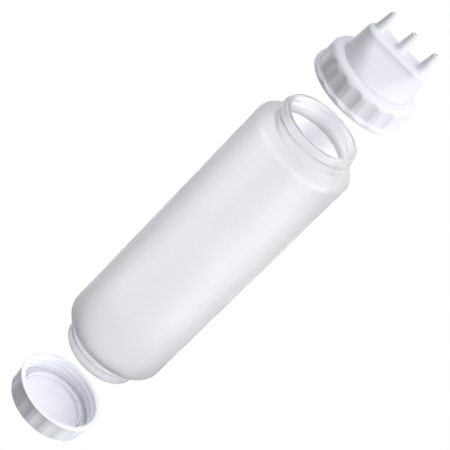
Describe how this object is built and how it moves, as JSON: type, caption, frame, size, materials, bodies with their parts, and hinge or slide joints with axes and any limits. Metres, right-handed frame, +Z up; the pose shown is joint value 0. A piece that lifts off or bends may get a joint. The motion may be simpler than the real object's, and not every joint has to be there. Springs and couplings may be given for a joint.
{
  "type": "squeeze sauce bottle",
  "caption": "Milky squeeze bottle with a wide threaded neck at both ends, a nozzle cap with a row of hollow tips and a screw base cap, shown with both caps off in line with the body.",
  "frame": {"origin": "centre of the whole part's box at its base, on the surface that the bottle lies on", "axes": "+X along the axis of bottle and caps towards the nozzle tips, +Y along the row of tips, +Z up"},
  "size_m": [0.3638, 0.07, 0.0699],
  "materials": {
    "milky_polyethylene": "satin, milky and slightly see-through",
    "white_polypropylene": "glossy white moulding",
    "seal_rubber": "matt pale ring seal"
  },
  "bodies": {
    "bottle": {"bottle": "milky_polyethylene"},
    "nozzle_cap_seal": {"nozzle_cap_seal": "seal_rubber"},
    "nozzle_cap": {"nozzle_cap": "white_polypropylene"},
    "base_cap_seal": {"base_cap_seal": "seal_rubber"},
    "base_cap": {"base_cap": "white_polypropylene"}
  },
  "joints": [
    {"name": "nozzle_cap_travel", "type": "slide", "parent": "bottle", "child": "nozzle_cap_seal", "axis": [1, 0, 0], "range_m": [-0.042, 0]},
    {"name": "nozzle_cap_turn", "type": "hinge", "parent": "nozzle_cap_seal", "child": "nozzle_cap", "pos_m": [0.1313, 0, 0.03496], "axis": [1, 0, 0], "range_deg": [-3600, 0]},
    {"name": "base_cap_travel", "type": "slide", "parent": "bottle", "child": "base_cap_seal", "axis": [-1, 0, 0], "range_m": [-0.0567, 0]},
    {"name": "base_cap_turn", "type": "hinge", "parent": "base_cap_seal", "child": "base_cap", "pos_m": [-0.1665, 0, 0.03496], "axis": [-1, 0, 0], "range_deg": [-4860, 0]}
  ],
  "couplings": [
    {"joint": "nozzle_cap_travel", "follows": "nozzle_cap_turn", "m_per_rad": 0.00066845},
    {"joint": "base_cap_travel", "follows": "base_cap_turn", "m_per_rad": 0.00066845}
  ]
}
